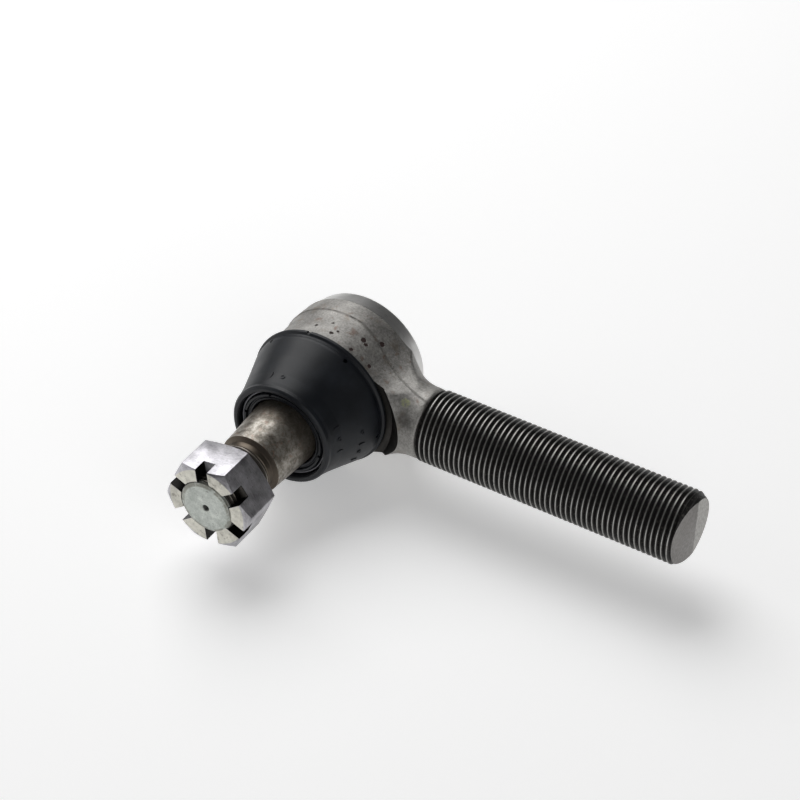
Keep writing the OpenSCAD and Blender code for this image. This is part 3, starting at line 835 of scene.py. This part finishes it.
class TIEROD_OT_ball_stud(bpy.types.Operator):
    """Turn the ball stud, with its taper, relief and thread"""
    bl_idname = "tie_rod.add_ball_stud"
    bl_label = "Ball stud"

    def execute(self, context):
        sizes = context.scene.tie_rod_stud
        ball = sizes.ball_radius / MM
        small = sizes.small_radius / MM
        start, end = sizes.taper_start / MM, sizes.taper_end / MM
        radius, pitch = sizes.thread_radius / MM, sizes.pitch / MM
        length = sizes.length / MM
        large = small + (end - start) / 16
        waist = 10.0
        low = math.asin(0.94)
        high = math.acos(waist / ball)
        arc = [-low + (high + low) * i / 28 for i in range(29)]
        outline = [(0, -ball * 0.94)] + [(ball * math.cos(a), ball * math.sin(a)) for a in arc]
        outline += [(waist, 17.5, 1.0), (waist + 0.5, 20.5, 3.0), (large - 0.4, 25.2, 3.0),
                    (large, start + 0.6, 0.4), (small, end, 0.25), (10.35, end + 0.9, 0.4),
                    (10.25, 58.2), (9.6, 59.0), (9.6, length - 3.0), (0, length - 3.0)]
        stud = turn("ball_stud_turned", outline, segments=128)
        rod = rolled_thread("stud_thread", radius, pitch, 52.0, 19, on_stud, STUD_AXIS)
        skin = turn("stud_skin", [
            (0, 57.6), (9.8, 57.6), (9.9, 58.3), (radius + 0.01, 59.6, 0.2),
            (radius + 0.01, 82.6, 0.3), (10.75, 83.05, 0.2), (9.3, length, 0.5), (1.5, length, 0.2),
            (0.15, length - 1.5), (0, length - 1.5)], segments=128)
        combine(rod, skin, "INTERSECT")
        combine(stud, rod, "UNION")
        clear_selection()
        turned = context.scene.tie_rod_nut.turn
        bpy.ops.mesh.primitive_cylinder_add(
            vertices=48, radius=0.0022, depth=0.06, location=(0, -0.0725, 0),
            rotation=(0, math.pi / 2 - turned, 0))
        drill = bpy.context.object
        apply_place(drill)
        combine(stud, drill, "DIFFERENCE")
        clean(stud, 1e-6)
        shade(stud, 30)
        dress(stud, taper_finish(),
              turned_finish("Ball steel", (0.62, 0.62, 0.62), (0.50, 0.50, 0.50), "Y", False,
                            0.16, 2500.0, 1e-5),
              # The relief's brown tone is the steel's own; its darkness is painted shade
              turned_finish("Relief steel", (0.15, 0.125, 0.10), (0.06, 0.05, 0.04), "Y", False,
                            0.42, 2600.0, 3e-5),
              thread_finish("Stud thread", "Y", 0.0100, 0.01111,
                            (0.07, 0.062, 0.052), (0.36, 0.33, 0.29)),
              end_face_finish())
        finish_faces(stud, 1, lambda c, n: c.y > -0.0165)
        finish_faces(stud, 2, lambda c, n: -0.0584 < c.y < -0.0550)
        finish_faces(stud, 3, lambda c, n: c.y < -0.0584)
        finish_faces(stud, 4, lambda c, n: c.y < -0.0815 and (
            math.hypot(c.x, c.z) < 0.0104 or n.y < -0.5))
        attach(stud, "stud")
        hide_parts("ball_stud")
        return {"FINISHED"}


class TIEROD_OT_slotted_nut(bpy.types.Operator):
    """Mill the slotted nut and cut its thread"""
    bl_idname = "tie_rod.add_slotted_nut"
    bl_label = "Slotted nut"

    def execute(self, context):
        sizes = context.scene.tie_rod_nut
        stud = context.scene.tie_rod_stud
        colours = context.scene.tie_rod_colours
        corner = sizes.flats / math.sqrt(3)
        back, front = sizes.back / MM, sizes.front / MM
        clear_selection()
        bpy.ops.mesh.primitive_cylinder_add(
            vertices=6, radius=corner, depth=sizes.front - sizes.back,
            location=(0, -(sizes.front + sizes.back) / 2, 0), rotation=(math.pi / 2, 0, 0))
        nut = bpy.context.object
        nut.name = "slotted_nut_milled"
        apply_place(nut)
        # The cylinder's first corner is found, so that it can be turned to its place
        lead = math.degrees(math.atan2(nut.data.vertices[0].co.z, nut.data.vertices[0].co.x))
        self.swing(nut, math.degrees(sizes.turn) + 30 - lead)
        tall = corner / MM
        face = sizes.flats / MM / 2 * 0.985
        skin = turn("nut_skin", [
            (0, back), (face, back), (tall + 0.05, back + 0.95),
            (tall + 0.05, front - (tall + 0.05 - face) * math.tan(math.radians(30))),
            (face, front), (0, front)], segments=144)
        combine(nut, skin, "INTERSECT")
        for i in range(6):
            clear_selection()
            bpy.ops.mesh.primitive_cube_add(size=1, location=(
                0.0175, -(sizes.front - sizes.slot_depth / 2 + 0.001), 0))
            slot = bpy.context.object
            slot.scale = (0.0175, sizes.slot_depth + 0.002, sizes.slot_width)
            apply_place(slot)
            self.swing(slot, math.degrees(sizes.turn) + 60 * i)
            combine(nut, slot, "DIFFERENCE")
        apply_modifier(nut, "BEVEL", width=0.0002, segments=2, limit_method="ANGLE",
                       angle_limit=math.radians(24), use_clamp_overlap=True)
        clean(nut, 1e-6)
        rod = rolled_thread("nut_thread", stud.thread_radius / MM, stud.pitch / MM,
                            52.0, 22, on_stud, STUD_AXIS, grow=0.08)
        combine(nut, rod, "DIFFERENCE")
        clean(nut, 1e-6)
        shade(nut, 28)
        dress(nut, plated_finish("Nut plating", tuple(colours.plating)),
              # The front faces get a lighter, cream plating: a painted highlight where light falls on
              # them
              plated_finish("Nut castellations", (0.56, 0.55, 0.50), sheen_and_dirt=True),
              # The nut's thread is coloured near black: painted shade inside the bore
              thread_finish("Nut thread", "Y", 0.0100, 0.01119,
                            (0.012, 0.011, 0.010), (0.05, 0.047, 0.042)),
              # The slot walls are coloured near black: painted shade inside the slots
              turned_finish("Slot walls", (0.022, 0.021, 0.02), (0.008, 0.008, 0.007), "Y", True,
                            0.45, 1200.0, 3e-5))
        tip = sizes.front
        # Material 1, the painted highlight, goes on the nut's front faces
        finish_faces(nut, 1, lambda c, n: n.y < -0.95 and c.y < -tip + 0.0010)
        finish_faces(nut, 2, lambda c, n: math.hypot(c.x, c.z) < 0.01125)
        inner = sizes.flats / 2 - 0.0005
        finish_faces(nut, 3, lambda c, n: c.y < -(tip - sizes.slot_depth - 0.0002)
                     and 0.0112 < math.hypot(c.x, c.z) < inner + 0.002 and n.y > -0.98
                     and self.in_slot(c, n, sizes))
        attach(nut, "stud")
        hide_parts("slotted_nut")
        return {"FINISHED"}

    def swing(self, piece, degrees):
        """Turn a piece about the stud's axis, from +X towards +Z."""
        pick(piece)
        piece.matrix_world = Matrix.Rotation(math.radians(-degrees), 4, "Y")
        apply_place(piece)

    def in_slot(self, centre, normal, sizes):
        """A slot's walls face along the ring, and its floor faces the stud's end."""
        angle = math.atan2(centre.z, centre.x)
        step = math.tau / 6
        off = (angle - sizes.turn + step / 2) % step - step / 2
        reach = math.hypot(centre.x, centre.z) * abs(math.sin(off))
        around = abs(-normal.x * math.sin(angle) + normal.z * math.cos(angle))
        floor = centre.y > -(sizes.front - sizes.slot_depth) - 0.0003
        return reach < sizes.slot_width / 2 + 0.0002 and (around > 0.85 or floor)


# Raised marks on the boot: half (0 skirt, 1 rim), azimuth, distance along, slant (none: a ring)
MOULD_MARKS = [
    (1, 22, 29.0, 90), (1, 9, 29.0, None), (1, -5, 29.2, 90), (0, 3, 18.8, None),
    (0, -10, 18.8, 90), (0, -20, 18.8, None), (0, -32, 18.8, 90), (1, 110, 29.0, 90),
    (1, 97, 29.0, None),
]


class TIEROD_OT_dust_boot(bpy.types.Operator):
    """Mould the dust boot in two halves"""
    bl_idname = "tie_rod.add_dust_boot"
    bl_label = "Dust boot"

    def execute(self, context):
        sizes = context.scene.tie_rod_boot
        colours = context.scene.tie_rod_colours
        rubber = rubber_finish(colours)
        lip, rim = sizes.lip_radius / MM, sizes.rim_radius / MM
        base, top, split = sizes.base / MM, sizes.top / MM, sizes.split / MM
        skirt = [(25.74, base), (lip - 0.1, base, 0.2), (lip, base + 0.5, 0.3),
                 (lip - 0.1, base + 1.2, 0.35), (lip - 0.95, base + 1.7, 0.4),
                 (lip - 1.2, base + 2.5, 0.4), (28.15, 11.2, 0.5), (27.95, 12.2, 1.5),
                 (26.65, 16.0, 3.0), (25.25, 20.0, 3.0)]
        wall = 2.2
        split_r = self.at(split)
        inner_low = [(split_r - wall, split), (25.1, 14.4), (23.7, 13.4), (23.7, 12.1),
                     (25.74, 12.1)]
        lower = turn("dust_boot_skirt", skirt + [(split_r, split)] + inner_low,
                     segments=144, closed=True)
        ring = 17.9
        crown = [(split_r, split), (22.65, 28.0, 3.0), (rim + 0.35, 32.4, 3.0),
                 (rim - 0.05, 33.6, 0.6), (rim, top - 0.9, 0.7), (rim - 0.75, top, 0.75),
                 (ring + 1.25, top, 0.5), (ring + 0.8, top - 0.7, 0.3),
                 (ring + 0.8, top - 3.6, 0.2), (ring - 0.8, top - 3.6, 0.2),
                 (ring - 0.8, top - 1.45, 0.25), (16.1, top - 1.35, 0.35),
                 (15.9, top - 2.6, 0.3), (15.35, top - 2.7, 0.25), (15.2, top - 2.1, 0.2),
                 (14.45, top - 2.2, 0.25), (14.2, top - 3.0, 0.25), (14.9, top - 3.9, 0.3),
                 (14.3, top - 4.8, 0.3), (15.1, top - 5.6, 0.4),
                 (rim + 0.2 - wall, 28.6, 2.0), (split_r - wall, split)]
        upper = turn("dust_boot_rim", crown, segments=144, closed=True)
        self.vents(lower)
        self.marks(lower, upper)
        self.notches(upper, ring, top)
        for piece in (lower, upper):
            clean(piece, 1e-6)
            shade(piece, 40)
            dress(piece, rubber)
        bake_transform(lower)
        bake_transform(upper)
        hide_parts("dust_boot")
        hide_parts("dust_boot")
        return {"FINISHED"}

    def at(self, along):
        """The cone's outer radius where the two halves meet."""
        return 25.25 + (22.65 - 25.25) * (along - 20.0) / 8.0

    def rod(self, radius, depth, azimuth, reach, along):
        """A small rod that lies along a radius of the stud's axis."""
        clear_selection()
        bpy.ops.mesh.primitive_cylinder_add(
            vertices=20, radius=radius, depth=depth, rotation=(0, math.pi / 2, 0),
            location=(reach, -along, 0))
        piece = bpy.context.object
        apply_place(piece)
        piece.matrix_world = Matrix.Rotation(math.radians(-azimuth), 4, "Y")
        apply_place(piece)
        return piece

    def vents(self, piece):
        """Five pin holes just above the lip, and one moulded notch in the lip."""
        for i in range(5):
            combine(piece, self.rod(0.0009, 0.0042, 134 - 72 * i, 0.0281, 0.0116), "DIFFERENCE")
        combine(piece, self.rod(0.0009, 0.002, 99, 0.0296, 0.0087), "DIFFERENCE")

    def marks(self, lower, upper):
        """Plain raised dashes and rings, as moulds leave on a boot."""
        for piece, azimuth, along, slant in MOULD_MARKS:
            half = (lower, upper)[piece]
            radius = self.at(along) * MM
            mark = self.rod(0.0009 if slant is None else 0.0004, 0.0016, 0, radius, 0)
            if slant is not None:
                mark.scale = (1, 1, 3.6)
                apply_place(mark)
            else:
                combine(mark, self.rod(0.0005, 0.004, 0, radius, 0), "DIFFERENCE")
            # Turned about the local radius, leant back to lie on the cone, then put in place
            mark.matrix_world = (
                Matrix.Rotation(math.radians(-azimuth), 4, "Y")
                @ Matrix.Translation((0, -along * MM, 0))
                @ Matrix.Translation((radius - 0.00048, 0, 0))
                @ Matrix.Rotation(math.radians(-18), 4, "Z")
                @ Matrix.Rotation(math.radians(slant or 0), 4, "X")
                @ Matrix.Translation((-radius, 0, 0)))
            apply_place(mark)
            combine(half, mark, "UNION")

    def notches(self, piece, ring, top):
        """Six drain slots in the ring groove's inner wall."""
        for i in range(6):
            clear_selection()
            bpy.ops.mesh.primitive_cube_add(size=1, location=(
                (ring - 0.9) * MM, -(top - 1.4) * MM, 0))
            slot = bpy.context.object
            slot.scale = (0.0026, 0.0026, 0.0012)
            apply_place(slot)
            slot.matrix_world = Matrix.Rotation(math.radians(-107 - 60 * i), 4, "Y")
            apply_place(slot)
            combine(piece, slot, "DIFFERENCE")


class TIEROD_OT_end_cap(bpy.types.Operator):
    """Press the end cap with its boss for the grease fitting"""
    bl_idname = "tie_rod.add_end_cap"
    bl_label = "End cap"

    def execute(self, context):
        cap = turn("end_cap_pressed", [
            (3.2, -26.3), (6.3, -26.3, 0.5), (7.0, -23.75, 0.6), (13.0, -23.35, 1.0),
            (20.2, -23.7, 1.0), (22.5, -23.7, 0.3), (22.5, -21.94), (3.2, -21.94)],
            segments=128, closed=True)
        shade(cap, 35)
        dress(cap, plated_finish("Cap plating", (0.42, 0.42, 0.41)))
        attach(cap, "housing")
        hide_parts("end_cap")
        return {"FINISHED"}


class TIEROD_OT_stage(bpy.types.Operator):
    """Lay the floor, hang the soft lights and set up the camera"""
    bl_idname = "tie_rod.add_stage"
    bl_label = "Stage"

    def execute(self, context):
        colours = context.scene.tie_rod_colours
        clear_selection()
        lowest = CAD_BOX[0][2]
        bpy.ops.mesh.primitive_grid_add(x_subdivisions=8, y_subdivisions=8, size=6.0,
                                        location=(0, 0, 0))
        floor = context.object
        floor.name = "studio_floor"
        bpy.ops.object.mode_set(mode="EDIT")
        bpy.ops.mesh.select_all(action="SELECT")
        bpy.ops.transform.translate(value=(0, 0, lowest - 0.0001))
        done()
        material, tree, shader, at = new_material("Studio floor")
        tone = blend_colour(tree, spread(tree, noise(tree, at, 6, 3), 0.3, 0.7, 0, 0.02),
                            tuple(colours.floor), (0.9, 0.9, 0.9))
        join(tree, shader, Base_Color=tone, Roughness=0.9, Emission_Color=(1.0, 1.0, 1.0),
             Emission_Strength=0.33)
        dress(floor, material)

        world = bpy.data.worlds.new("Studio")
        context.scene.world = world
        world.use_nodes = True
        sky = world.node_tree
        back = sky.nodes["Background"]
        way = add(sky, "TexCoord").outputs["Generated"]
        toward = add(sky, "VectorMath", {"operation": "DOT_PRODUCT"}, i0=way,
                     i1=(0.45, 0.05, 0.89)).outputs["Value"]
        sky.links.new(spread(sky, toward, 0.82, 0.975, 1.22, 0.30), back.inputs["Strength"])

        self.lamp("top_light", (-0.7, 0.5, 1.1), (0.05, 0, 0), 1.2, 15)
        self.lamp("right_light", (1.1, -0.9, 0.7), (0.05, 0, 0), 1.2, 5)
        self.lamp("left_light", (-1.2, -0.6, 0.5), (0.0, -0.03, 0), 1.2, 3)

        camera_data = bpy.data.cameras.new("Camera")
        camera = bpy.data.objects.new("Camera", camera_data)
        context.scene.collection.objects.link(camera)
        right = Vector((0.8528, 0.5220, 0.0183)).normalized()
        forward = Vector((-0.3934, 0.6650, -0.6349)).normalized()
        up = right.cross(forward)
        turned = Matrix((right, up, -forward)).transposed().to_4x4()
        camera.matrix_world = Matrix.Translation((0.3826, -0.5959, 0.5745)) @ turned
        camera_data.lens = 108
        camera_data.sensor_width = 36
        camera_data.clip_start = 0.01
        camera_data.clip_end = 20
        context.scene.camera = camera
        context.scene.view_settings.view_transform = "Standard"
        return {"FINISHED"}

    def lamp(self, name, place, target, size, power):
        data = bpy.data.lights.new(name, "AREA")
        data.size = size
        data.energy = power
        lamp = bpy.data.objects.new(name, data)
        bpy.context.scene.collection.objects.link(lamp)
        lamp.location = place
        way = Vector(target) - Vector(place)
        lamp.rotation_euler = way.to_track_quat("-Z", "Y").to_euler()


class TIEROD_OT_inner_pieces(bpy.types.Operator):
    """Give the pieces inside the joint, and the small rings, their finishes"""
    bl_idname = "tie_rod.finish_inner_pieces"
    bl_label = "Inner pieces"

    def execute(self, context):
        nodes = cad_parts
        hard = plain_steel_finish("Hardened steel", (0.45, 0.45, 0.46), 0.24)
        spring = plain_steel_finish("Spring steel", (0.14, 0.14, 0.15), 0.38)
        gasket, tree, shader, at = new_material("Gasket")
        join(tree, shader, Base_Color=ramp(tree, noise(tree, at, 300, 3), [
            (0.3, (0.015, 0.015, 0.015)), (0.7, (0.04, 0.038, 0.036))]), Roughness=0.8,
            Normal=bump(tree, noise(tree, at, 1200, 3), 0.00003, 0.5))
        finishes = {
            "front_race": hard, "rear_seat": hard, "check_ball": hard,
            "bearing_shell": acetal_finish(), "preload_spring": spring,
            "check_spring": spring, "boot_garter_ring": spring, "boot_insert_ring": spring,
            "cap_gasket": gasket,
            "grease_fitting": plated_finish("Fitting plating", (0.55, 0.54, 0.50)),
        }
        for name, material in finishes.items():
            dress(nodes[name], material)
        return {"FINISHED"}


# ---------------------------------------------------------------- panel and registering

STEPS = (TIEROD_OT_stage, TIEROD_OT_housing, TIEROD_OT_ball_stud, TIEROD_OT_slotted_nut,
         TIEROD_OT_dust_boot, TIEROD_OT_end_cap, TIEROD_OT_inner_pieces)


class TIEROD_PT_panel(bpy.types.Panel):
    """Lists the steps and the sizes of the tie rod end"""
    bl_idname = "TIEROD_PT_panel"
    bl_label = "Tie Rod End"
    bl_space_type = "VIEW_3D"
    bl_region_type = "UI"
    bl_category = "Tie Rod End"

    def draw(self, context):
        for step in STEPS:
            self.layout.operator(step.bl_idname)
        for name in GROUPS:
            group = getattr(context.scene, name)
            box = self.layout.box()
            for key in group.__annotations__:
                box.prop(group, key)


GROUPS = {
    "tie_rod_forging": ForgingSizes,
    "tie_rod_stud": StudSizes,
    "tie_rod_nut": NutSizes,
    "tie_rod_boot": BootSizes,
    "tie_rod_colours": FinishColours,
}


def register():
    for kind in (*GROUPS.values(), *STEPS, TIEROD_PT_panel):
        bpy.utils.register_class(kind)
    for name, kind in GROUPS.items():
        setattr(bpy.types.Scene, name, bpy.props.PointerProperty(type=kind))


def unregister():
    for name in GROUPS:
        delattr(bpy.types.Scene, name)
    for kind in (TIEROD_PT_panel, *reversed(STEPS), *GROUPS.values()):
        bpy.utils.unregister_class(kind)


def main():
    register()
    for step in STEPS:
        family, name = step.bl_idname.split(".")
        getattr(getattr(bpy.ops, family), name)()


if __name__ == "__main__":
    main()
